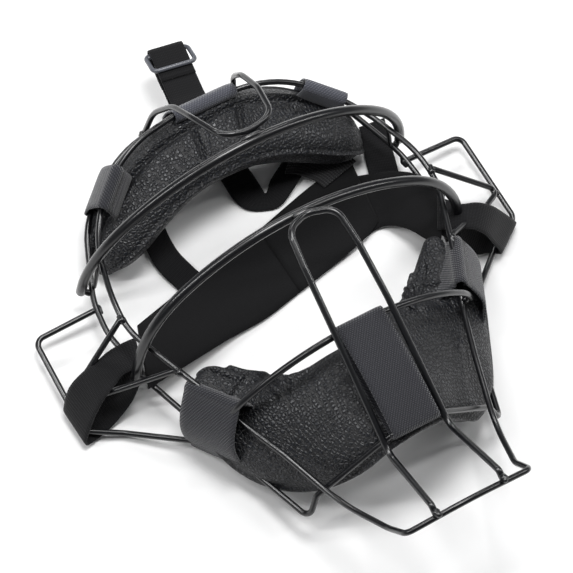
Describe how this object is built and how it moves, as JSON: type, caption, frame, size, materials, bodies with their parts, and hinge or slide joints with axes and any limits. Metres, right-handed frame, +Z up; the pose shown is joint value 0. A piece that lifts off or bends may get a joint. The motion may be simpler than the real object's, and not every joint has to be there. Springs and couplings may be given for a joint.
{
  "type": "catcher's mask",
  "caption": "Welded wire catcher's mask lying face up, with leather forehead and chin pads, webbing tabs and an elastic strap harness.",
  "frame": {"origin": "centre of the bounding box on the ground that the mask lies on, face up", "axes": "+X across the face, +Y from the chin to the crown, +Z up, the way the mask faces as it lies"},
  "size_m": [0.2763, 0.326, 0.1073],
  "materials": {
    "cage_paint": "satin black powder coat",
    "pad_leather": "pebbled matt leather",
    "pad_foam": "closed-cell foam",
    "tab_webbing": "twill webbing",
    "strap_webbing": "plain webbing",
    "elastic_webbing": "ribbed elastic",
    "band_fabric": "brushed elastic",
    "slider_plastic": "moulded"
  },
  "bodies": {
    "mask": {"front_frame_wire": "cage_paint", "rear_frame_wire": "cage_paint", "brow_bar": "cage_paint", "lower_eye_bar": "cage_paint", "forehead_loop": "cage_paint", "nose_loop": "cage_paint", "mouth_bar": "cage_paint", "ear_loop_left": "cage_paint", "ear_loop_right": "cage_paint", "ear_brace_left": "cage_paint", "ear_brace_right": "cage_paint", "weld_beads": "cage_paint", "forehead_pad_cover": "pad_leather", "forehead_pad_foam": "pad_foam", "chin_pad_cover": "pad_leather", "chin_pad_foam": "pad_foam", "forehead_tab_left": "tab_webbing", "forehead_tab_right": "tab_webbing", "forehead_tab_center": "tab_webbing", "chin_tab_left": "tab_webbing", "chin_tab_right": "tab_webbing", "chin_tab_center": "tab_webbing", "side_strap_left": "elastic_webbing", "side_strap_right": "elastic_webbing", "back_band": "band_fabric", "crown_strap_left": "strap_webbing", "crown_strap_right": "strap_webbing", "crown_strap_folded": "strap_webbing", "elastic_strap": "elastic_webbing", "top_strap": "strap_webbing"},
    "slider": {"top_strap_fold": "strap_webbing", "strap_slider": "slider_plastic"}
  },
  "joints": [
    {"name": "slider_slide", "type": "slide", "parent": "mask", "child": "slider", "axis": [0.1732, 0.9766, -0.1275], "range_m": [-0.008, 0.008]}
  ]
}
